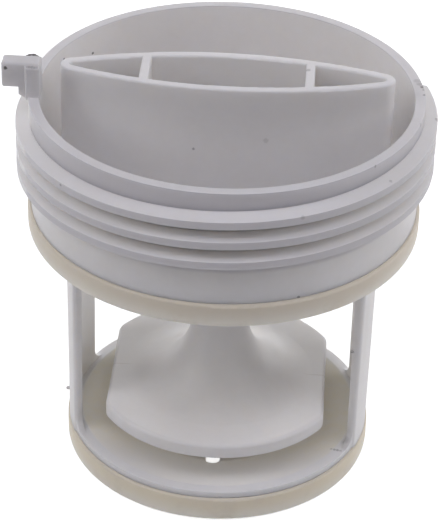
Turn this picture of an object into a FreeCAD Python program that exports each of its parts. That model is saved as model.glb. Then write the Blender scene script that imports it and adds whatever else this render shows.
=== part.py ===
# Washer pump filter: a moulded screw-in filter with a cup and grip, a cage and two rubber seals.
# Millimetres. The screw axis is Z, the base lies on z = 0, the grip runs along X.
import FreeCAD
import Part
import Sketcher
import math
import os

# Driving sizes: name, value, meaning
SIZES = (
    ("seal_lip_height", 0.4, "height of the lips that keep the seals on"),
    ("seal_lip_depth", 1.4, "lips out from the bottom of their grooves"),
    ("lower_seal_height", 4.75, "lower seal along the axis"),
    ("ring_radius", 27.2, "outside of the end ring"),
    ("lower_groove_depth", 2.2, "lower seal groove below the end ring's outside"),
    ("lower_seal_stand", 0.53, "lower seal proud of the end ring"),
    ("ring_edge_height", 1.25, "end ring above the lower seal"),
    ("ring_land", 1.9, "flat top of the end ring"),
    ("dish_floor_height", 3.5, "flat middle of the dish inside the end ring"),
    ("dish_floor_radius", 14.5, "flat middle of the dish"),
    ("end_opening_radius", 9.5, "water way through the floor"),
    ("drain_width", 2.65, "slot that leads from the dish to the water way"),
    ("drain_reach", 15.45, "slot from the axis to its round end"),
    ("leg_stand", 0.25, "feet of the legs proud of the end ring"),
    ("leg_draft", 0.25, "heads of the legs out from their feet"),
    ("leg_head_thickness", 1.7, "leg wall below the cap"),
    ("leg_foot_thickness", 1.3, "leg wall at the end ring"),
    ("leg_arc", 46.0, "degrees of arc of one leg"),
    ("leg_edge_round", 0.8, "outer edges of the legs"),
    ("leg_foot_round", 2.6, "round between a leg's edge and the end ring"),
    ("disc_top_height", 13.5, "top of the baffle disc"),
    ("disc_thickness", 2.6, "baffle disc"),
    ("disc_clearance", 2.2, "baffle disc smaller than the end ring's land"),
    ("disc_half_width", 19.6, "flats of the disc beside the legs"),
    ("disc_corner", 3.5, "rounded corners of the disc"),
    ("disc_edge_round", 0.7, "rounded upper edge of the disc"),
    ("stem_radius", 5.2, "stem between cap and disc"),
    ("stem_cove", 12.0, "flare from the stem to the disc"),
    ("cap_bottom_height", 46.0, "underside of the cap"),
    ("upper_seal_height", 4.4, "upper seal along the axis"),
    ("barrel_radius", 33.65, "plain cylinder above the upper seal"),
    ("upper_groove_depth", 2.65, "upper seal groove below the barrel's outside"),
    ("upper_seal_stand", 0.6, "upper seal proud of the barrel"),
    ("barrel_height", 7.5, "plain cylinder along the axis"),
    ("rim_flare", 0.1, "rim wider than the barrel"),
    ("rim_wall", 1.75, "wall at the rim"),
    ("rim_height", 13.5, "threaded wall above the barrel"),
    ("cup_floor_thickness", 2.4, "floor of the cup"),
    ("cup_wall", 2.05, "wall of the cup beside the barrel"),
    ("cup_seat_wall", 2.2, "wall of the cup inside the upper seal"),
    ("grip_rise", 3.8, "grip above the rim"),
    ("grip_half_length", 28.4, "grip from the axis to its tip"),
    ("grip_half_width", 6.7, "grip at its widest"),
    ("grip_tip_radius", 2.2, "rounded tips of the grip"),
    ("grip_wall", 1.6, "wall of the grip"),
    ("rib_thickness", 1.6, "cross ribs inside the grip"),
    ("rib_offset", 14.0, "cross ribs from the axis"),
    ("thread_depth", 2.25, "thread out from the rim"),
    ("thread_pitch", 3.75, "rise of the thread in one turn"),
    ("thread_turns", 2.66, "length of the thread in turns"),
    ("thread_land", 1.34, "flat crest of the thread"),
    ("thread_upper_flank", 0.78, "slope of the upper flank over the thread's depth"),
    ("thread_lower_flank", 0.12, "slope of the lower flank over the thread's depth"),
    ("thread_start_drop", 0.7, "start of the thread's crest below the barrel's top"),
    ("thread_start_angle", 140.0, "degrees from the grip's end to the start"),
    ("thread_root_depth", 0.5, "thread sunk into the wall"),
    ("lug_near_offset", 2.3, "lug from the grip's plane"),
    ("lug_width", 3.2, "lug along the rim"),
    ("lug_depth", 2.5, "lug in from the rim's outside"),
    ("lug_rise", 6.1, "lug above the rim"),
    ("lug_overhang", 4.0, "outer block of the lug out from the rim"),
    ("lug_hook_height", 4.45, "outer block of the lug"),
    ("lug_step_depth", 1.15, "lower step of the lug out from the rim"),
    ("lug_step_height", 1.4, "lower step of the lug"),
    ("lug_post_stand", 0.6, "post of the lug in front of its outer block"),
    ("lug_round", 0.4, "rounded edges of the lug"),
    ("seal_edge_round", 0.5, "upper edge of each seal"),
    ("seal_lip_round", 1.0, "lower lip of each seal"),
    ("moulded_overlap", 0.4, "overlap where moulded forms join"),
    ("grip_round", 0.3, "rounded top edges of the grip"),
)

doc = FreeCAD.newDocument("washer_pump_filter")
sheet = doc.addObject("Spreadsheet::Sheet", "Sizes")
for row, (name, value, meaning) in enumerate(SIZES, start=1):
    sheet.set("A%d" % row, name)
    sheet.set("B%d" % row, str(value))
    sheet.setAlias("B%d" % row, name)
    sheet.set("C%d" % row, meaning)
doc.recompute()


class Length:
    """A number together with the sheet expression it stands for."""

    def __init__(self, value, text):
        self.value = value
        self.text = text

    def join(self, sign, other, value):
        return Length(value, "(%s %s %s)" % (self.text, sign, other.text))

    def __add__(self, other):
        return self.join("+", other, self.value + other.value)

    def __sub__(self, other):
        return self.join("-", other, self.value - other.value)

    def __neg__(self):
        return Length(-self.value, "(0 - %s)" % self.text)

    def __mul__(self, other):
        return self.join("*", other, self.value * other.value)

    def __truediv__(self, other):
        return self.join("/", other, self.value / other.value)

    def half(self):
        return self / TWO


def size(name):
    return Length(float(sheet.get(name)), "Sizes." + name)


ZERO = Length(0.0, "0")
TWO = Length(2.0, "2")
CENTRE = 3
NEAR = 0.01


def origin_plane(body, role):
    return [plane for plane in body.Origin.OriginFeatures if plane.Role == role][0]


def new_sketch(body, name, role, offset=None):
    sketch = body.newObject("Sketcher::SketchObject", name)
    sketch.AttachmentSupport = [(origin_plane(body, role), "")]
    sketch.MapMode = "FlatFace"
    if offset is not None:
        sketch.setExpression("AttachmentOffset.Base.z", offset.text)
    return sketch


def bind(sketch, kind, *place_and_length):
    length = place_and_length[-1]
    index = sketch.addConstraint(Sketcher.Constraint(kind, *place_and_length[:-1], length.value))
    sketch.setExpression("Constraints[%d]" % index, length.text)


def pin_point(sketch, geometry, end, across, up):
    bind(sketch, "DistanceX", geometry, end, across)
    bind(sketch, "DistanceY", geometry, end, up)


def draw_outline(sketch, corners):
    """A closed outline. A corner whose third entry is (radius, centre) starts an arc."""
    ends = []
    for number, corner in enumerate(corners):
        following = corners[(number + 1) % len(corners)]
        begin = FreeCAD.Vector(corner[0].value, corner[1].value, 0)
        finish = FreeCAD.Vector(following[0].value, following[1].value, 0)
        if len(corner) == 2:
            index = sketch.addGeometry(Part.LineSegment(begin, finish), False)
            ends.append((index, 1, 2))
            continue
        radius, centre = corner[2]
        middle = FreeCAD.Vector(centre[0].value, centre[1].value, 0)
        first = math.atan2(begin.y - middle.y, begin.x - middle.x)
        last = math.atan2(finish.y - middle.y, finish.x - middle.x)
        turn = (last - first) % (2 * math.pi)
        circle = Part.Circle(middle, FreeCAD.Vector(0, 0, 1), radius.value)
        if turn < math.pi:
            index = sketch.addGeometry(Part.ArcOfCircle(circle, first, last), False)
            ends.append((index, 1, 2))
        else:
            index = sketch.addGeometry(Part.ArcOfCircle(circle, last, first), False)
            ends.append((index, 2, 1))
        bind(sketch, "Radius", index, radius)
    for number, (index, start, stop) in enumerate(ends):
        neighbour, neighbour_start, _ = ends[(number + 1) % len(ends)]
        sketch.addConstraint(Sketcher.Constraint("Coincident", index, stop, neighbour, neighbour_start))
        pin_point(sketch, index, start, corners[number][0], corners[number][1])


def lens_side(half_length, half_width, tip_radius):
    """Distance of a side arc's centre beyond the long axis, and that arc's radius."""
    along = half_length - tip_radius
    beside = half_width - tip_radius
    drop = (along * along - beside * beside) / (beside + beside)
    return drop, drop + half_width


def draw_lens(sketch, half_length, half_width, tip_radius):
    """Two long arcs with tangent round tips."""
    drop, side_arc = lens_side(half_length, half_width, tip_radius)
    along = half_length - tip_radius
    lean = side_arc - tip_radius
    across = along + tip_radius * along / lean
    up = tip_radius * drop / lean
    draw_outline(sketch, (
        (across, up, (side_arc, (ZERO, -drop))),
        (-across, up, (tip_radius, (-along, ZERO))),
        (-across, -up, (side_arc, (ZERO, drop))),
        (across, -up, (tip_radius, (along, ZERO))),
    ))


def round_edges(body, name, radius, base, chosen):
    """Round the edges of the body so far that the test picks."""
    picked = ["Edge%d" % (number + 1) for number, edge in enumerate(base.Shape.Edges) if chosen(edge)]
    feature = body.newObject("PartDesign::Fillet", name)
    feature.Base = (base, picked)
    feature.setExpression("Radius", radius.text)
    doc.recompute()
    return feature


def edge_box(edge):
    box = edge.BoundBox
    return box.XMin, box.XMax, box.YMin, box.YMax, box.ZMin, box.ZMax


def near(one, other):
    return abs(one - other) < NEAR


def is_disc_corner(edge):
    x_low, x_high, y_low, y_high, z_low, z_high = edge_box(edge)
    upright = near(x_low, x_high) and near(y_low, y_high)
    return upright and near(z_low, disc_bottom.value) and near(z_high, disc_top.value)


def is_disc_rim(edge):
    x_low, x_high = edge_box(edge)[:2]
    z_low, z_high = edge_box(edge)[4:]
    level = near(z_low, disc_top.value) and near(z_high, disc_top.value)
    return level and not (near(-x_low, flare_radius.value) and near(x_high, flare_radius.value))


def is_leg_foot(edge):
    z_low, z_high = edge_box(edge)[4:]
    level = near(z_low, ring_top.value) and near(z_high, ring_top.value)
    return level and edge.Curve.TypeId == "Part::GeomLine"


def is_leg_edge(edge):
    z_low, z_high = edge_box(edge)[4:]
    if not (near(z_low, lower_seal_top.value) and near(z_high, size("cap_bottom_height").value)):
        return False
    foot = min((vertex.Point for vertex in edge.Vertexes), key=lambda point: point.z)
    return near(math.hypot(foot.x, foot.y), leg_foot_radius.value)


def is_grip_top(edge):
    z_low, z_high = edge_box(edge)[4:]
    return near(z_low, grip_top.value) and near(z_high, grip_top.value)


def is_lug_edge(edge):
    at_top = near(edge.BoundBox.ZMin, lug_top.value)
    at_end = near(edge.BoundBox.XMax, -lug_end.value)
    return at_top or at_end


def is_post_edge(edge):
    in_front = near(edge.BoundBox.YMax, -post_front.value)
    at_top = near(edge.BoundBox.ZMin, post_top.value)
    outside = near(edge.BoundBox.XMax, -rim_radius.value)
    return in_front and (at_top or outside)


def revolve(body, name, corners, degrees=None):
    """Turn an outline of (radius, height) corners about the screw axis."""
    sketch = new_sketch(body, name + "_section", "XZ_Plane")
    draw_outline(sketch, corners)
    feature = body.newObject("PartDesign::Revolution", name)
    feature.Profile = sketch
    feature.ReferenceAxis = (sketch, ["V_Axis"])
    feature.Angle = 360.0
    if degrees is not None:
        feature.Midplane = True
        feature.setExpression("Angle", degrees.text)
    doc.recompute()
    return feature


# Heights and radii that follow from the driving sizes
lower_seal_bottom = size("seal_lip_height")
lower_seal_top = lower_seal_bottom + size("lower_seal_height")
ring_top = lower_seal_top + size("ring_edge_height")
upper_seal_bottom = size("cap_bottom_height") + size("seal_lip_height")
upper_seal_top = upper_seal_bottom + size("upper_seal_height")
barrel_top = upper_seal_top + size("barrel_height")
rim_top = barrel_top + size("rim_height")
grip_top = rim_top + size("grip_rise")
lug_top = rim_top + size("lug_rise")
cup_floor = size("cap_bottom_height") + size("cup_floor_thickness")
cup_step = upper_seal_top + size("cup_seat_wall")
overlap = size("moulded_overlap")
upper_seat = size("barrel_radius") - size("upper_groove_depth")
upper_seal_outside = size("barrel_radius") + size("upper_seal_stand")
rim_radius = size("barrel_radius") + size("rim_flare")
lower_seat = size("ring_radius") - size("lower_groove_depth")
lower_seal_outside = size("ring_radius") + size("lower_seal_stand")
dish_radius = size("ring_radius") - size("ring_land")
leg_foot_radius = size("ring_radius") + size("leg_stand")
leg_head_radius = leg_foot_radius + size("leg_draft")
disc_radius = dish_radius - size("disc_clearance")
lug_end = rim_radius + size("lug_overhang")

body = doc.addObject("PartDesign::Body", "filter_body")
body.Label = "filter_body"

# Cap: seal groove, barrel, rim and the stepped inside of the cup
cup_seat_radius = upper_seat - size("cup_seat_wall")
cup_radius = size("barrel_radius") - size("cup_wall")
cap_lip = upper_seat + size("seal_lip_depth")
rim_bore = rim_radius - size("rim_wall")
revolve(body, "cap", (
    (ZERO, size("cap_bottom_height")),
    (cap_lip, size("cap_bottom_height")),
    (cap_lip, upper_seal_bottom),
    (upper_seat, upper_seal_bottom),
    (upper_seat, upper_seal_top),
    (size("barrel_radius"), upper_seal_top),
    (size("barrel_radius"), barrel_top),
    (rim_radius, rim_top),
    (rim_bore, rim_top),
    (cup_radius, cup_step),
    (cup_seat_radius, cup_step),
    (cup_seat_radius, cup_floor),
    (ZERO, cup_floor),
))

# Stem with its flare onto the baffle disc
disc_top = size("disc_top_height")
disc_bottom = disc_top - size("disc_thickness")
flare_radius = size("stem_radius") + size("stem_cove")
flare_top = disc_top + size("stem_cove")
revolve(body, "stem_and_disc", (
    (ZERO, disc_bottom),
    (disc_radius, disc_bottom),
    (disc_radius, disc_top),
    (flare_radius, disc_top, (size("stem_cove"), (flare_radius, flare_top))),
    (size("stem_radius"), flare_top),
    (size("stem_radius"), size("cap_bottom_height") + overlap),
    (ZERO, size("cap_bottom_height") + overlap),
))

# Flats that keep the disc clear of the legs, with rounded corners and upper edge
flats_sketch = new_sketch(body, "disc_flats_outline", "XY_Plane", disc_top + overlap)
disc_side = size("disc_half_width")
disc_reach = disc_radius + overlap
for flat, outside in ((disc_side, disc_reach), (-disc_side, -disc_reach)):
    draw_outline(flats_sketch, (
        (flat, -disc_reach), (outside, -disc_reach), (outside, disc_reach), (flat, disc_reach)))
flats = body.newObject("PartDesign::Pocket", "disc_flats")
flats.Profile = flats_sketch
flats.setExpression("Length", (size("disc_thickness") + overlap + overlap).text)
doc.recompute()
round_edges(body, "disc_corners", size("disc_corner"), flats, is_disc_corner)
round_edges(body, "disc_edge", size("disc_edge_round"), doc.getObject("disc_corners"), is_disc_rim)

# Two legs from the cap to the end ring
leg_head = size("cap_bottom_height") + overlap
revolve(body, "leg", (
    (leg_foot_radius - size("leg_foot_thickness"), lower_seal_top),
    (leg_foot_radius, lower_seal_top),
    (leg_head_radius, leg_head),
    (leg_head_radius - size("leg_head_thickness"), leg_head),
), degrees=size("leg_arc"))
other_leg = body.newObject("PartDesign::Mirrored", "other_leg")
other_leg.Originals = [doc.getObject("leg")]
other_leg.MirrorPlane = (origin_plane(body, "YZ_Plane"), [""])
body.Tip = other_leg
doc.recompute()
round_edges(body, "leg_edges", size("leg_edge_round"), other_leg, is_leg_edge)

# End ring: seal groove, flat land and a conical dish with the water way
base_lip = lower_seat + size("seal_lip_depth")
revolve(body, "end_ring", (
    (size("end_opening_radius"), ZERO),
    (base_lip, ZERO),
    (base_lip, lower_seal_bottom),
    (lower_seat, lower_seal_bottom),
    (lower_seat, lower_seal_top),
    (size("ring_radius"), lower_seal_top),
    (size("ring_radius"), ring_top),
    (dish_radius, ring_top),
    (size("dish_floor_radius"), size("dish_floor_height")),
    (size("end_opening_radius"), size("dish_floor_height")),
))

round_edges(body, "leg_feet", size("leg_foot_round"), doc.getObject("end_ring"), is_leg_foot)

# Drain slot with a round end, on the front of the centre plane
drain_sketch = new_sketch(body, "drain_outline", "XY_Plane", ring_top)
drain_side = size("drain_width").half()
drain_turn = size("drain_reach") - drain_side
draw_outline(drain_sketch, (
    (drain_side, ZERO),
    (-drain_side, ZERO),
    (-drain_side, -drain_turn, (drain_side, (ZERO, -drain_turn))),
    (ZERO, -size("drain_reach"), (drain_side, (ZERO, -drain_turn))),
    (drain_side, -drain_turn),
))
drain = body.newObject("PartDesign::Pocket", "drain")
drain.Profile = drain_sketch
drain.setExpression("Length", (ring_top + overlap).text)
doc.recompute()

# Hollow grip with pointed ends that stands on the cup floor
grip_foot = cup_floor - overlap
grip_height = grip_top - grip_foot
grip_sketch = new_sketch(body, "grip_outline", "XY_Plane", grip_foot)
draw_lens(grip_sketch, size("grip_half_length"), size("grip_half_width"), size("grip_tip_radius"))
draw_lens(grip_sketch, size("grip_half_length") - size("grip_wall"),
          size("grip_half_width") - size("grip_wall"), size("grip_tip_radius") - size("grip_wall"))
grip = body.newObject("PartDesign::Pad", "grip")
grip.Profile = grip_sketch
grip.setExpression("Length", grip_height.text)
doc.recompute()

# Cross ribs inside the grip
side_drop, side_arc = lens_side(size("grip_half_length"), size("grip_half_width"), size("grip_tip_radius"))
rib_sagitta = size("rib_offset") * size("rib_offset") / (side_arc + side_arc)
rib_reach = size("grip_half_width") - size("grip_wall").half() - rib_sagitta
rib_sketch = new_sketch(body, "rib_outline", "XY_Plane", grip_foot)
for rib_middle in (size("rib_offset"), -size("rib_offset")):
    rib_left = rib_middle - size("rib_thickness").half()
    rib_right = rib_middle + size("rib_thickness").half()
    draw_outline(rib_sketch, (
        (rib_left, -rib_reach), (rib_right, -rib_reach), (rib_right, rib_reach), (rib_left, rib_reach)))
ribs = body.newObject("PartDesign::Pad", "ribs")
ribs.Profile = rib_sketch
ribs.setExpression("Length", grip_height.text)
doc.recompute()
round_edges(body, "grip_edges", size("grip_round"), ribs, is_grip_top)

# Lug that rises from the rim beside one end of the grip
lug_root = rim_radius - size("lug_depth")
lug_step = rim_radius + size("lug_step_depth")
lug_sketch = new_sketch(body, "lug_outline", "XZ_Plane", size("lug_near_offset"))
hook_bottom = lug_top - size("lug_hook_height")
draw_outline(lug_sketch, (
    (-lug_root, rim_top - overlap),
    (-lug_root, lug_top),
    (-lug_end, lug_top),
    (-lug_end, hook_bottom),
    (-lug_step, hook_bottom),
    (-lug_step, hook_bottom - size("lug_step_height")),
    (-rim_radius, rim_top - overlap),
))
lug = body.newObject("PartDesign::Pad", "lug")
lug.Profile = lug_sketch
lug.setExpression("Length", size("lug_width").text)
doc.recompute()
round_edges(body, "lug_edges", size("lug_round"), lug, is_lug_edge)

# Post of the lug, a little in front of its outer block
lug_front = size("lug_near_offset") + size("lug_width")
post_top = lug_top - size("lug_round")
post_front = lug_front + size("lug_post_stand")
post_sketch = new_sketch(body, "lug_post_outline", "XZ_Plane", lug_front - overlap)
draw_outline(post_sketch, (
    (-lug_root, rim_top - overlap),
    (-lug_root, post_top),
    (-rim_radius, post_top),
    (-rim_radius, rim_top - overlap),
))
post = body.newObject("PartDesign::Pad", "lug_post")
post.Profile = post_sketch
post.setExpression("Length", (size("lug_post_stand") + overlap).text)
doc.recompute()
round_edges(body, "post_edges", size("lug_round"), post, is_post_edge)

# Screw thread round the rim, right-handed, sloping above and nearly flat below
thread_sketch = new_sketch(body, "thread_section", "XZ_Plane")
thread_sketch.AttachmentOffset = FreeCAD.Placement(
    FreeCAD.Vector(0, 0, 0), FreeCAD.Rotation(FreeCAD.Vector(0, 1, 0), size("thread_start_angle").value))
thread_sketch.setExpression("AttachmentOffset.Rotation.Angle", size("thread_start_angle").text)
thread_root = size("barrel_radius") - size("thread_root_depth")
thread_crest = rim_radius + size("thread_depth")
crest_bottom = barrel_top - size("thread_start_drop")
crest_top = crest_bottom + size("thread_land")
flank_reach = (thread_crest - thread_root) / size("thread_depth")
draw_outline(thread_sketch, (
    (thread_root, crest_bottom - size("thread_lower_flank") * flank_reach),
    (thread_crest, crest_bottom),
    (thread_crest, crest_top),
    (thread_root, crest_top + size("thread_upper_flank") * flank_reach),
))
thread = body.newObject("PartDesign::AdditiveHelix", "thread")
thread.Profile = thread_sketch
thread.ReferenceAxis = (thread_sketch, ["V_Axis"])
thread.Mode = "pitch-turns-angle"
thread.setExpression("Pitch", size("thread_pitch").text)
thread.setExpression("Turns", size("thread_turns").text)
thread.LeftHanded = False
doc.recompute()

# Rubber seals, each stretched into its groove
seals = (
    ("lower_seal", lower_seat, lower_seal_outside, lower_seal_bottom, lower_seal_top),
    ("upper_seal", upper_seat, upper_seal_outside, upper_seal_bottom, upper_seal_top),
)
for label, seat, outer, seal_bottom, seal_top in seals:
    seal = doc.addObject("PartDesign::Body", label)
    seal.Label = label
    lip = size("seal_lip_round")
    edge = size("seal_edge_round")
    revolve(seal, label + "_ring", (
        (seat, seal_bottom),
        (outer - lip, seal_bottom, (lip, (outer - lip, seal_bottom + lip))),
        (outer, seal_bottom + lip),
        (outer, seal_top - edge, (edge, (outer - edge, seal_top - edge))),
        (outer - edge, seal_top),
        (seat, seal_top),
    ))

# Every object must be sound before anything is written
doc.recompute()
for item in doc.Objects:
    if "Invalid" in item.State or "Error" in item.State:
        raise RuntimeError("%s failed: %s" % (item.Label, item.State))
pieces = [item for item in doc.Objects if item.TypeId == "PartDesign::Body"]
for piece in pieces:
    piece.Placement = FreeCAD.Placement()
    if piece.Shape.isNull() or not piece.Shape.isValid() or len(piece.Shape.Solids) != 1:
        raise RuntimeError("%s is not one sound solid" % piece.Label)
os.makedirs("parts", exist_ok=True)
for piece in pieces:
    piece.Shape.exportStep("parts/%s.step" % piece.Label)
    print(piece.Label, round(piece.Shape.Volume, 1), piece.Shape.BoundBox)
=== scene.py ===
# Looks of a washer pump filter: white moulded body, two cream rubber seals, studio light.
import math

import bmesh
import bpy
from mathutils import Matrix, Vector, noise


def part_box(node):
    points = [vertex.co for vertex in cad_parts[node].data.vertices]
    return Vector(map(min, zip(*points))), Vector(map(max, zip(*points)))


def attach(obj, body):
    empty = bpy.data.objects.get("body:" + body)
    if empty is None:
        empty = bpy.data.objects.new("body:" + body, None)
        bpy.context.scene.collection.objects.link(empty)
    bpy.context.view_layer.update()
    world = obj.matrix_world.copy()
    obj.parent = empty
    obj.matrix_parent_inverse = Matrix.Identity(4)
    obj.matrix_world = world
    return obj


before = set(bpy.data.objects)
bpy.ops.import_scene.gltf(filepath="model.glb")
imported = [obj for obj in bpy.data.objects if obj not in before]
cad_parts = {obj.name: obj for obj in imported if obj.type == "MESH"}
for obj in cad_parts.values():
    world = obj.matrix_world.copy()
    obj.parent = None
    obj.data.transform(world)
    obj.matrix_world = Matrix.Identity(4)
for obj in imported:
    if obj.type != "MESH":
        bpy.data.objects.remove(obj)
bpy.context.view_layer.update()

MM = 0.001

# Camera: millimetres, degrees, and the focal length in pixels of the 440 x 520 picture
CAMERA_BACK = 335.416
CAMERA_HEIGHT = 255.82
CAMERA_PITCH = 33.064
CAMERA_YAW = -0.062
CAMERA_ROLL = 1.684
CAMERA_FOCUS = 2244.72
CAMERA_CLIP = (0.01, 20.0)
PICTURE_HEIGHT = 520
SENSOR = 36.0
OBJECT_TURN = 2.8

# Lamps: name, turn from the front to the right and rise in degrees, watts; high ones are a little cooler
LAMP_AIM = (0.0, 0.0, 40.0)
LAMP_DISTANCE = 520.0
LAMP_SIDE = 260.0
LAMP_COLOUR = (1.02, 1.01, 1.02)
HIGH_COLOUR = (0.985, 0.965, 1.13)
HIGH_RISE = 45
LAMPS = (
    ("left_main", -70, 33, 0.71),
    ("left_high", -60, 60, 0.28),
    ("right_main", 70, 33, 0.36),
    ("right_high", 60, 60, 0.30),
    ("right_side", 100, 33, 0.28),
    ("front_main", 0, 33, 0.04),
    ("front_high", 0, 60, 0.19),
    ("right_low", 100, 10, 0.15),
    ("back_right_low", 135, 10, 0.31),
    ("back_low", 180, 10, 0.64),
    ("back_left_low", 225, 10, 0.36),
)
SKY_COLOUR = (0.99, 0.98, 1.03)
SKY_STRENGTH = 0.01

# Floor: half side and drop in metres, grey level, and its glow from a near to a far place in mm
FLOOR_HALF = 2.0
FLOOR_DROP = 0.05 * MM
FLOOR_PALE = 0.80
FLOOR_GLOW = (250.0, 700.0, 0.80, 1.0)

# Colours, linear
WHITE = (1.0, 1.0, 1.0)
PLASTIC_LIGHT = (0.850, 0.835, 0.825)
PLASTIC_DARK = (0.820, 0.803, 0.788)
# Painted shade in corners; the same colour also darkens the mould seam
PLASTIC_CORNER_SHADE_AND_SEAM = (0.42, 0.37, 0.30)
DIRT = (0.035, 0.030, 0.026)
WATER_STAIN = (0.850, 0.790, 0.650)
# Painted shade under the thread crests
THREAD_CREST_SHADE = (0.07, 0.062, 0.055)
# Painted shade on the upright thread walls and on the rim top
PAINTED_SHADE_GREY = (0.37, 0.365, 0.42)
# Darker grey patches on the outer part of the lug
LUG_GREY = (0.52, 0.515, 0.51)
# Painted shade at the upper edge of the seals
RUBBER_EDGE_SHADE = (0.710, 0.648, 0.540)
UPPER_RUBBER = (0.770, 0.700, 0.575)
LOWER_RUBBER = (0.840, 0.760, 0.595)
# Painted light: the lower lip of the seals as if lit from the floor below
RUBBER_PAINTED_LIGHT = (0.945, 0.912, 0.815)
RUBBER_STAIN = (0.77, 0.70, 0.57)
# Painted shade in the corners of the seals
RUBBER_CORNER_SHADE = (0.40, 0.34, 0.25)

# Noise: scale per mm, detail, roughness
CLOUDS = (0.045, 4.0, 0.55)
MOTTLE = (0.55, 3.0, 0.6)
GLOSS_PATCHES = (0.9, 3.0, 0.6)
SINK_WAVES = (0.11, 2.0, 0.4)
PLASTIC_GRAIN = (5.0, 3.0, 0.65)
RUBBER_CLOUDS = (0.14, 4.0, 0.6)
RUBBER_MOTTLE = (1.3, 3.0, 0.6)
RUBBER_WAVES = (0.3, 2.0, 0.5)
RUBBER_GRAIN = (7.0, 2.0, 0.6)
TORN_MOTTLE = (1.6, 4.0, 0.65)
TORN_GRAIN = (3.0, 4.0, 0.7)
RAGGED_SCALE = 2.2
RAGGED_DETAIL = 2.0
RAGGED_REACH = 0.22
NOISE_MIDDLE = (0.5, 0.5, 0.5)

# Smooth steps below: low and high end in mm or as a share, then how much of the look is there at each

# Clouds of the plastic: how much the large ones weigh, and where dark turns to light
CLOUD_WEIGHT = 0.75
CLOUD_TONE = (0.36, 0.64)

# Painted shade in corners, in patches: reach of the corner test in mm, open corners, patches, none on
# the outside of the body
CORNER_REACH = 1.6
SHADE_CORNERS = (0.25, 0.70, 1.0, 0.0)
SHADE_PATCHES = (0.30, 0.75, 0.10, 0.38)
SHADE_OUTSIDE = (26.0, 27.0, 1.0, 0.1)

# Water stain in the dish of the end ring: its edge, its top, weaker at the front, patches
STAIN_EDGE = (24.8, 25.6, 1.0, 0.0)
STAIN_TOP = (6.6, 8.1, 1.0, 0.0)
STAIN_FRONT = (-19.0, -8.0, 0.20, 1.0)
STAIN_PATCHES = (0.30, 0.70, 0.70, 1.0)

# Thread: its foot, its root, clear of the lug, painted shade on upright walls, painted shade under the
# crests
THREAD_FOOT = (56.5, 57.5)
THREAD_ROOT = (33.4, 33.6)
THREAD_CLEAR = (-33.0, -32.0)
SHADE_ON_WALLS = (0.15, 0.45, 1.0, 0.0)
WALL_SHADE_CORNERS = (0.45, 1.0, 0.90, 0.42)
THREAD_CORNERS = (0.34, 0.68, 1.0, 0.0)

# Painted shade on top of the rim, and grey patches on the lug
RIM_TOP = (71.5, 71.8, 0.0, 0.30)
RIM_INSIDE = (31.0, 31.3)
LUG_FOOT = (72.0, 72.6)
LUG_ROOT = (-31.5, -31.0, 1.0, 0.0)
LUG_PATCHES = (0.3, 0.7, 0.10, 0.30)

# Seam of the two mould halves that form the cage: its width, its ends, clear of the stem, patches
SEAM_WIDTH = (0.05, 0.16, 1.0, 0.0)
SEAM_FOOT = (10.0, 10.2)
SEAM_TOP = (45.0, 45.2, 1.0, 0.0)
SEAM_SIDES = (15.0, 18.0)
SEAM_PATCHES = (0.35, 0.65, 0.22, 0.50)

# Dirt that sticks to the moulding: place in mm, radius in mm, how dark
SPOT_CORE = 0.45
DIRT_SPOTS = (
    ((-36.95, -5.50, 76.95), 0.42, 0.85),
    ((-33.3, -5.9, 77.5), 0.34, 0.30),
    ((-32.9, -5.8, 77.5), 0.36, 0.42),
    ((-32.5, -5.8, 77.5), 0.36, 0.42),
    ((-32.1, -5.9, 77.5), 0.34, 0.34),
    ((-31.7, -5.9, 77.5), 0.30, 0.24),
    ((-25.25, 19.60, 67.26), 0.40, 0.80),
    ((-29.53, 12.39, 69.60), 0.40, 0.65),
    ((-5.09, -6.53, 63.83), 0.34, 0.45),
    ((-25.32, -25.58, 66.87), 0.32, 0.40),
    ((-5.50, -34.11, 60.37), 0.34, 0.60),
    ((14.17, -30.51, 51.00), 0.34, 0.50),
    ((32.36, 7.11, 71.80), 0.90, 0.20),
    ((32.80, 6.00, 71.80), 0.80, 0.26),
    ((33.28, 5.05, 71.80), 0.60, 0.62),
    ((33.45, 4.00, 71.80), 0.42, 0.45),
    ((33.53, 2.24, 71.80), 0.40, 0.50),
    ((35.93, -0.63, 68.74), 0.70, 0.34),
    ((32.81, -7.87, 71.55), 0.45, 0.26),
    ((28.06, -21.50, 68.56), 0.40, 0.26),
    ((25.37, -22.25, 71.59), 0.34, 0.40),
    ((14.21, -33.07, 67.91), 0.45, 0.22),
    ((13.57, 1.90, 75.60), 0.60, 0.30),
    ((7.10, -6.38, 66.13), 0.60, 0.16),
    ((21.44, -12.57, 6.28), 0.36, 0.30),
    ((21.98, -12.82, 6.40), 0.40, 0.42),
    ((22.52, -12.91, 6.40), 0.40, 0.42),
    ((23.07, -13.01, 6.40), 0.36, 0.30),
    ((24.10, -10.50, 6.90), 1.10, 0.22),
)

# Surface of the plastic: gloss, rounding of edges and heights in mm, strength of the bumps, light inside
PLASTIC_ROUGHNESS = (0.3, 0.7, 0.40, 0.52)
DIRT_ROUGHNESS = 0.3
PLASTIC_EDGE = 0.16
WAVE_BUMP = (0.35, 0.12)
SEAM_BUMP = (0.4, 0.04)
GRAIN_BUMP = (0.30, 0.02)
PLASTIC_SPECULAR = 0.42
PLASTIC_SCATTER = (0.60, (1.0, 0.92, 0.80), 3.0)

# Rubber: the paler lip, painted light from the floor below, starts in mm above the foot; other levels,
# such as the painted shade at the upper edge, are shares of the seal's height
LIP_START = 0.2
LIP_END = 0.9
EDGE_START = 0.95
EDGE_END = 1.1
LEVEL_WANDER = 0.8

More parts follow.
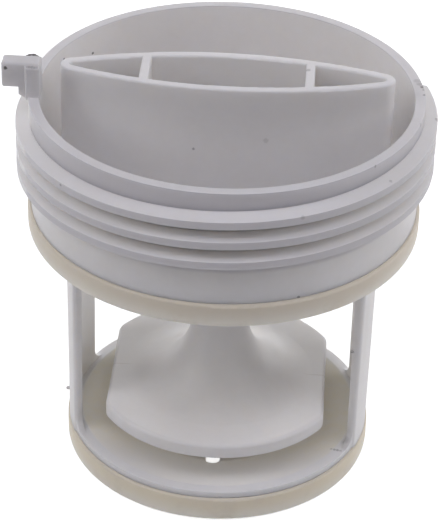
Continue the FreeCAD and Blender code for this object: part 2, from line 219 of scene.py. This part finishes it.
# Rubber: stains, painted shade in corners, gloss, rounding and bumps in mm, light inside
RUBBER_STAINS = (0.48, 0.75, 0.0, 0.6)
RUBBER_CORNER_REACH = 0.9
RUBBER_CORNERS = (0.25, 0.60, 1.0, 0.0)
RUBBER_PATCHES = (0.3, 0.7, 0.0, 0.15)
RUBBER_ROUGHNESS = (0.3, 0.7, 0.45, 0.60)
RUBBER_ROUND = 0.2
RUBBER_WAVE_BUMP = (0.3, 0.10)
RUBBER_SPECULAR = 0.5
RUBBER_SCATTER = (0.20, (1.0, 0.8, 0.5), 1.2)

# Flash left on the moulding: name, place in mm, half sizes in mm, how dark
FLASH = (
    ("flash_left_leg", (-27.42, -3.6, 9.9), (0.42, 0.30, 0.34), 0.25),
    ("flash_right_leg", (24.05, -10.2, 26.4), (0.36, 0.28, 0.32), 0.45),
    ("burr_lug", (-32.9, -1.75, 77.40), (1.10, 0.62, 0.36), 1.0),
)

# Its lumps as scale and height, and its torn surface
LUMP_SUBDIVISIONS = 3
LUMPS = ((1.7, 0.28), (4.5, 0.10))
TORN_PATCHES = (0.35, 0.65)
TORN_LIGHTEST = 0.6
TORN_BUMP = (0.6, 0.08)
TORN_ROUGHNESS = (0.3, 0.7, 0.55, 0.8)

# Nodes: samples of the corner and edge tests, colour sockets of a mix node
CORNER_SAMPLES = 6
EDGE_SAMPLES = 4
MIX_IN = (6, 7)
MIX_OUT = 2


class Material:
    """A node material that knows the place of each point, with short ways to add nodes."""

    def __init__(self, name):
        self.material = bpy.data.materials.new(name)
        self.material.use_nodes = True
        self.tree = self.material.node_tree
        self.tree.nodes.clear()
        self.locate()

    def locate(self):
        """Place of a point in mm of the shared frame, its three parts and its way out from the axis."""
        point = self.add("ShaderNodeTexCoord").outputs["Object"]
        self.place = self.vector("SCALE", {0: point, "Scale": 1.0 / MM}).outputs[0]
        parts = self.add("ShaderNodeSeparateXYZ", {0: self.place})
        self.x, self.y, self.z = parts.outputs
        level = self.add("ShaderNodeCombineXYZ", {"X": self.x, "Y": self.y}).outputs[0]
        self.out = self.vector("LENGTH", {0: level}).outputs["Value"]

    def add(self, kind, inputs=None, **settings):
        node = self.tree.nodes.new(kind)
        for key, value in settings.items():
            setattr(node, key, value)
        for key, value in (inputs or {}).items():
            if isinstance(value, bpy.types.NodeSocket):
                self.tree.links.new(value, node.inputs[key])
            else:
                node.inputs[key].default_value = value
        return node

    def vector(self, operation, inputs):
        return self.add("ShaderNodeVectorMath", inputs, operation=operation)

    def maths(self, operation, first, second=0.0, clamp=False):
        node = self.add("ShaderNodeMath", {0: first, 1: second}, operation=operation, use_clamp=clamp)
        return node.outputs[0]

    def product(self, first, *others):
        for other in others:
            first = self.maths("MULTIPLY", first, other)
        return first

    def ramp(self, value, low, high, start=0.0, end=1.0):
        """A smooth step from start at low to end at high."""
        node = self.add("ShaderNodeMapRange", {
            "Value": value, "From Min": low, "From Max": high, "To Min": start, "To Max": end},
            interpolation_type="SMOOTHSTEP")
        return node.outputs["Result"]

    def cloud(self, scale, detail, roughness):
        node = self.add("ShaderNodeTexNoise", {
            "Vector": self.place, "Scale": scale, "Detail": detail, "Roughness": roughness})
        return node.outputs["Fac"]

    def mix(self, amount, first, second):
        """The first colour where the amount is nothing, the second where it is one."""
        node = self.add("ShaderNodeMix", data_type="RGBA")
        self.tree.links.new(amount, node.inputs[0])
        for index, value in zip(MIX_IN, (first, second)):
            if isinstance(value, bpy.types.NodeSocket):
                self.tree.links.new(value, node.inputs[index])
            else:
                node.inputs[index].default_value = (*value, 1.0)
        return node.outputs[MIX_OUT]

    def corners(self, reach):
        """One on open faces, less in corners."""
        node = self.add("ShaderNodeAmbientOcclusion", {"Distance": reach * MM}, samples=CORNER_SAMPLES)
        return node.outputs["AO"]

    def rounded(self, radius):
        """Normals that round off the edges."""
        node = self.add("ShaderNodeBevel", {"Radius": radius * MM}, samples=EDGE_SAMPLES)
        return node.outputs["Normal"]

    def bump(self, height, strength, distance, normal=None):
        """Normals bent by a height."""
        node = self.add("ShaderNodeBump", {
            "Height": height, "Strength": strength, "Distance": distance * MM})
        if normal is not None:
            self.tree.links.new(normal, node.inputs["Normal"])
        return node.outputs["Normal"]

    def ragged_place(self):
        """Places shifted by noise, for ragged outlines."""
        shift = self.add("ShaderNodeTexNoise", {
            "Vector": self.place, "Scale": RAGGED_SCALE, "Detail": RAGGED_DETAIL})
        centred = self.vector("SUBTRACT", {0: shift.outputs["Color"], 1: NOISE_MIDDLE}).outputs[0]
        scaled = self.vector("SCALE", {0: centred, "Scale": 2.0 * RAGGED_REACH}).outputs[0]
        return self.vector("ADD", {0: self.place, 1: scaled}).outputs[0]

    def spots(self, table):
        """Ragged soft spots round the given places."""
        place = self.ragged_place()
        covered = None
        for centre, radius, strength in table:
            away = self.vector("DISTANCE", {0: place, 1: centre}).outputs["Value"]
            spot = self.ramp(away, SPOT_CORE * radius, radius, strength, 0.0)
            covered = spot if covered is None else self.maths("MAXIMUM", covered, spot)
        return covered

    def finish(self, inputs, specular=None, scatter=None):
        """Close the material, with its gloss and with the light that spreads inside it."""
        shader = self.add("ShaderNodeBsdfPrincipled", inputs)
        if specular is not None:
            shader.inputs["Specular IOR Level"].default_value = specular
        if scatter is not None:
            weight, radius, scale = scatter
            shader.inputs["Subsurface Weight"].default_value = weight
            shader.inputs["Subsurface Radius"].default_value = radius
            shader.inputs["Subsurface Scale"].default_value = scale * MM
        self.add("ShaderNodeOutputMaterial", {"Surface": shader.outputs[0]})
        return self.material


def water_stain(made, colour, mottle):
    """Warm stain where water stands in the dish of the end ring."""
    amount = made.product(
        made.ramp(made.out, *STAIN_EDGE), made.ramp(made.z, *STAIN_TOP),
        made.ramp(made.y, *STAIN_FRONT), made.ramp(mottle, *STAIN_PATCHES))
    return made.mix(amount, colour, WATER_STAIN)


def thread_painted_shade(made, colour, corner):
    """Painted shade: grey on the upright walls of the thread and on the top of the rim, dark under the
    crests.
    """
    threaded = made.product(
        made.ramp(made.z, *THREAD_FOOT), made.ramp(made.out, *THREAD_ROOT),
        made.ramp(made.x, *THREAD_CLEAR))
    normal = made.add("ShaderNodeNewGeometry").outputs["True Normal"]
    tilt = made.maths("ABSOLUTE", made.add("ShaderNodeSeparateXYZ", {0: normal}).outputs["Z"])
    # Painted shade: upright walls in the thread greyer, more so near corners
    wall_shade = made.product(threaded, made.ramp(tilt, *SHADE_ON_WALLS), made.ramp(corner, *WALL_SHADE_CORNERS))
    colour = made.mix(wall_shade, colour, PAINTED_SHADE_GREY)
    # Painted shade on the top of the rim
    rim = made.product(made.ramp(made.z, *RIM_TOP), made.ramp(made.out, *RIM_INSIDE))
    colour = made.mix(rim, colour, PAINTED_SHADE_GREY)
    # Painted shade: dark under the crests of the thread
    return made.mix(made.product(threaded, made.ramp(corner, *THREAD_CORNERS)), colour, THREAD_CREST_SHADE)


def lug_grey_patches(made, colour, mottle):
    """Greyer patches on the lug."""
    amount = made.product(
        made.ramp(made.z, *LUG_FOOT), made.ramp(made.x, *LUG_ROOT), made.ramp(mottle, *LUG_PATCHES))
    return made.mix(amount, colour, LUG_GREY)


def mould_seam(made):
    """One on the seam of the mould halves, across the baffle disc and down the legs."""
    return made.product(
        made.ramp(made.maths("ABSOLUTE", made.y), *SEAM_WIDTH), made.ramp(made.z, *SEAM_TOP),
        made.ramp(made.z, *SEAM_FOOT), made.ramp(made.maths("ABSOLUTE", made.x), *SEAM_SIDES))


def plastic_material():
    """White moulded plastic: faint flow clouds, painted shade in corners, stains, stuck dirt, fine
    grain.
    """
    made = Material("white_plastic_moulded")
    clouds = made.cloud(*CLOUDS)
    mottle = made.cloud(*MOTTLE)
    corner = made.corners(CORNER_REACH)
    coarse = made.product(clouds, CLOUD_WEIGHT)
    fine = made.product(mottle, 1.0 - CLOUD_WEIGHT)
    tone = made.maths("ADD", coarse, fine)
    colour = made.mix(made.ramp(tone, *CLOUD_TONE), PLASTIC_DARK, PLASTIC_LIGHT)
    # Painted shade: darker colour in corners and creases, in patches, little on the outside of the body
    painted_corner_shade = made.product(
        made.ramp(corner, *SHADE_CORNERS), made.ramp(mottle, *SHADE_PATCHES),
        made.ramp(made.out, *SHADE_OUTSIDE))
    colour = made.mix(painted_corner_shade, colour, PLASTIC_CORNER_SHADE_AND_SEAM)
    colour = water_stain(made, colour, mottle)
    colour = thread_painted_shade(made, colour, corner)
    colour = lug_grey_patches(made, colour, mottle)
    seam = mould_seam(made)
    colour = made.mix(made.product(seam, made.ramp(clouds, *SEAM_PATCHES)), colour, PLASTIC_CORNER_SHADE_AND_SEAM)
    dirt = made.spots(DIRT_SPOTS)
    colour = made.mix(dirt, colour, DIRT)
    roughness = made.ramp(made.cloud(*GLOSS_PATCHES), *PLASTIC_ROUGHNESS)
    roughness = made.maths("ADD", roughness, made.product(dirt, DIRT_ROUGHNESS), clamp=True)
    normal = made.bump(made.cloud(*SINK_WAVES), *WAVE_BUMP, made.rounded(PLASTIC_EDGE))
    normal = made.bump(seam, *SEAM_BUMP, normal)
    normal = made.bump(made.cloud(*PLASTIC_GRAIN), *GRAIN_BUMP, normal)
    surface = {"Base Color": colour, "Roughness": roughness, "Normal": normal}
    return made.finish(surface, PLASTIC_SPECULAR, PLASTIC_SCATTER)


def rubber_material(name, rubber, bottom, height):
    """Cream rubber: painted light at its lower lip, painted shade at its upper edge and in corners,
    faintly stained and dull.
    """
    made = Material(name)
    stains = made.cloud(*RUBBER_CLOUDS)
    mottle = made.cloud(*RUBBER_MOTTLE)
    level = made.maths("ADD", made.z, made.product(stains, LEVEL_WANDER))
    # Painted light: the lower lip paler, as if lit from the floor below
    painted_lip_light = made.ramp(level, bottom + LIP_START, bottom + LIP_END * height, 1.0, 0.0)
    # Painted shade: the upper edge darker, under the barrel
    painted_edge_shade = made.ramp(level, bottom + EDGE_START * height, bottom + EDGE_END * height)
    colour = made.mix(painted_lip_light, rubber, RUBBER_PAINTED_LIGHT)
    colour = made.mix(painted_edge_shade, colour, RUBBER_EDGE_SHADE)
    colour = made.mix(made.ramp(stains, *RUBBER_STAINS), colour, RUBBER_STAIN)
    corner = made.corners(RUBBER_CORNER_REACH)
    # Painted shade in corners, in patches
    painted_corner_shade = made.product(made.ramp(corner, *RUBBER_CORNERS), made.ramp(mottle, *RUBBER_PATCHES))
    colour = made.mix(painted_corner_shade, colour, RUBBER_CORNER_SHADE)
    roughness = made.ramp(mottle, *RUBBER_ROUGHNESS)
    normal = made.bump(made.cloud(*RUBBER_WAVES), *RUBBER_WAVE_BUMP, made.rounded(RUBBER_ROUND))
    normal = made.bump(made.cloud(*RUBBER_GRAIN), *GRAIN_BUMP, normal)
    surface = {"Base Color": colour, "Roughness": roughness, "Normal": normal}
    return made.finish(surface, RUBBER_SPECULAR, RUBBER_SCATTER)


def flash_material(name, darkness):
    """Torn plastic with some dirt rubbed in."""
    made = Material(name)
    mottle = made.cloud(*TORN_MOTTLE)
    dirty = made.ramp(mottle, *TORN_PATCHES, TORN_LIGHTEST * darkness, darkness)
    colour = made.mix(dirty, PLASTIC_DARK, DIRT)
    roughness = made.ramp(mottle, *TORN_ROUGHNESS)
    normal = made.bump(made.cloud(*TORN_GRAIN), *TORN_BUMP)
    return made.finish({"Base Color": colour, "Roughness": roughness, "Normal": normal})


def dress(node, material):
    """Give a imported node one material."""
    node.data.materials.clear()
    node.data.materials.append(material)


def dress_seal(seal, rubber):
    """Give a seal rubber that follows its own height."""
    seal_low, seal_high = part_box(seal)
    bottom = seal_low.z / MM
    height = seal_high.z / MM - bottom
    dress(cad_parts[seal], rubber_material("rubber_" + seal, rubber, bottom, height))


def make_flash(name, place, half_sizes, darkness):
    """A small ragged lump that grows out of the moulding."""
    (coarse, coarse_height), (fine, fine_height) = LUMPS
    shape = bmesh.new()
    bmesh.ops.create_icosphere(shape, subdivisions=LUMP_SUBDIVISIONS, radius=1.0)
    for corner in shape.verts:
        spot = corner.co.copy()
        lump = 1.0 + coarse_height * noise.noise(spot * coarse + Vector(place))
        lump += fine_height * noise.noise(spot * fine)
        stretched = Vector([part * half for part, half in zip(spot * lump, half_sizes)])
        corner.co = (stretched + Vector(place)) * MM
    mesh = bpy.data.meshes.new(name)
    shape.to_mesh(mesh)
    shape.free()
    mesh.shade_smooth()
    mesh.materials.append(flash_material(name + "_plastic", darkness))
    lump_object = bpy.data.objects.new(name, mesh)
    bpy.context.scene.collection.objects.link(lump_object)
    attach(lump_object, "root")


def seen_directly(tree):
    """One for rays from the camera, from gloss and through glass, nothing for light that scatters."""
    path = tree.nodes.new("ShaderNodeLightPath")
    seen = path.outputs["Is Camera Ray"]
    for name in ("Is Glossy Ray", "Is Transmission Ray"):
        node = tree.nodes.new("ShaderNodeMath")
        node.operation = "MAXIMUM"
        tree.links.new(seen, node.inputs[0])
        tree.links.new(path.outputs[name], node.inputs[1])
        seen = node.outputs[0]
    return seen


def make_background(tree, colour, strength):
    """One even background light."""
    node = tree.nodes.new("ShaderNodeBackground")
    node.inputs["Color"].default_value = (*colour, 1.0)
    node.inputs["Strength"].default_value = strength
    return node.outputs[0]


def make_world():
    """White to look at, a weak pale sky as light."""
    world = bpy.data.worlds.new("studio")
    world.use_nodes = True
    tree = world.node_tree
    tree.nodes.clear()
    mixed = tree.nodes.new("ShaderNodeMixShader")
    tree.links.new(seen_directly(tree), mixed.inputs[0])
    tree.links.new(make_background(tree, SKY_COLOUR, SKY_STRENGTH), mixed.inputs[1])
    tree.links.new(make_background(tree, WHITE, 1.0), mixed.inputs[2])
    output = tree.nodes.new("ShaderNodeOutputWorld")
    tree.links.new(mixed.outputs[0], output.inputs["Surface"])
    bpy.context.scene.world = world


def floor_material():
    """Pale floor that glows only to the eye, so that it looks white and keeps the shadow."""
    made = Material("floor_pale")
    strength = made.product(seen_directly(made.tree), made.ramp(made.out, *FLOOR_GLOW))
    plain = made.add("ShaderNodeBsdfDiffuse", {"Color": (FLOOR_PALE, FLOOR_PALE, FLOOR_PALE, 1.0)})
    glow = made.add("ShaderNodeEmission", {"Color": (*WHITE, 1.0), "Strength": strength})
    both = made.add("ShaderNodeAddShader", {0: plain.outputs[0], 1: glow.outputs[0]})
    made.add("ShaderNodeOutputMaterial", {"Surface": both.outputs[0]})
    return made.material


def make_floor():
    """One plain square just under the object."""
    mesh = bpy.data.meshes.new("floor")
    sides = ((-1, -1), (1, -1), (1, 1), (-1, 1))
    corners = [(x * FLOOR_HALF, y * FLOOR_HALF, -FLOOR_DROP) for x, y in sides]
    mesh.from_pydata(corners, [], [(0, 1, 2, 3)])
    mesh.materials.append(floor_material())
    floor = bpy.data.objects.new("floor", mesh)
    bpy.context.scene.collection.objects.link(floor)


def make_lamp(name, turn, rise, watts):
    """Square soft lamp on a globe round the middle of the object, which it faces."""
    level, up = math.cos(math.radians(rise)), math.sin(math.radians(rise))
    sideways, ahead = math.sin(math.radians(turn)), math.cos(math.radians(turn))
    way = Vector((level * sideways, -level * ahead, up))
    data = bpy.data.lights.new(name, "AREA")
    data.shape = "SQUARE"
    data.size = LAMP_SIDE * MM
    data.energy = watts
    data.color = HIGH_COLOUR if rise > HIGH_RISE else LAMP_COLOUR
    lamp = bpy.data.objects.new(name, data)
    lamp.location = (Vector(LAMP_AIM) + LAMP_DISTANCE * way) * MM
    lamp.rotation_mode = "QUATERNION"
    lamp.rotation_quaternion = (-way).to_track_quat("-Z", "Y")
    bpy.context.scene.collection.objects.link(lamp)


def make_camera():
    """Camera of the picture, turned about the screw axis by the object's own turn."""
    pitch, yaw, roll = (math.radians(angle) for angle in (CAMERA_PITCH, CAMERA_YAW, CAMERA_ROLL))
    ahead = Vector((math.sin(yaw) * math.cos(pitch), math.cos(yaw) * math.cos(pitch), -math.sin(pitch)))
    level = Vector((math.cos(yaw), -math.sin(yaw), 0.0))
    upright = level.cross(ahead)
    right = math.cos(roll) * level + math.sin(roll) * upright
    up = -math.sin(roll) * level + math.cos(roll) * upright
    columns = Matrix((right, up, -ahead)).transposed().to_4x4()
    columns.translation = Vector((0.0, -CAMERA_BACK, CAMERA_HEIGHT)) * MM
    data = bpy.data.cameras.new("camera")
    data.sensor_fit = "AUTO"
    data.sensor_width = SENSOR
    data.lens = CAMERA_FOCUS * SENSOR / PICTURE_HEIGHT
    data.clip_start, data.clip_end = CAMERA_CLIP
    camera = bpy.data.objects.new("camera", data)
    camera.matrix_world = Matrix.Rotation(math.radians(OBJECT_TURN), 4, "Z") @ columns
    bpy.context.scene.collection.objects.link(camera)
    bpy.context.scene.camera = camera


dress(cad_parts["filter_body"], plastic_material())
dress_seal("upper_seal", UPPER_RUBBER)
dress_seal("lower_seal", LOWER_RUBBER)
for flash_row in FLASH:
    make_flash(*flash_row)
make_world()
make_floor()
for lamp_row in LAMPS:
    make_lamp(*lamp_row)
make_camera()
bpy.context.scene.view_settings.view_transform = "Standard"
